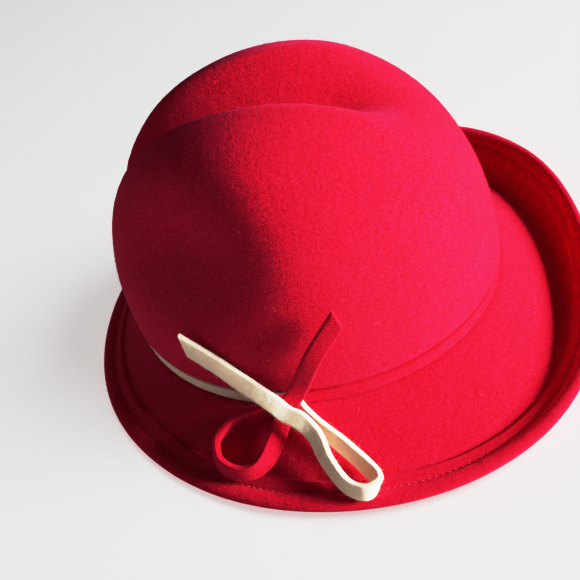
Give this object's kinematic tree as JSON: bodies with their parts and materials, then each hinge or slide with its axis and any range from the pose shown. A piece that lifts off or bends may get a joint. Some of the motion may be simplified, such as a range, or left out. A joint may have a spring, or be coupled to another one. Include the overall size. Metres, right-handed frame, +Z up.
{
  "type": "fedora hat",
  "caption": "Felt fedora with a creased and pinched crown, a hemmed brim turned up behind, and a narrow bicolour felt strip band tied in a bow at the side.",
  "frame": {"origin": "middle of the hat's outline on the surface it rests on", "axes": "+Z up out of the crown, -Y to the wearer's front, +X to the wearer's left, where the bow is"},
  "size_m": [0.2759, 0.2766, 0.1465],
  "materials": {
    "red_felt": "matt brushed wool felt",
    "cream_strip": "matt cut felt strip",
    "red_strip": "matt cut felt strip"
  },
  "bodies": {
    "root": {"crown": "red_felt", "brim": "red_felt", "cream_band": "cream_strip", "red_band": "red_strip", "cream_bow": "cream_strip", "red_bow": "red_strip"}
  },
  "joints": []
}
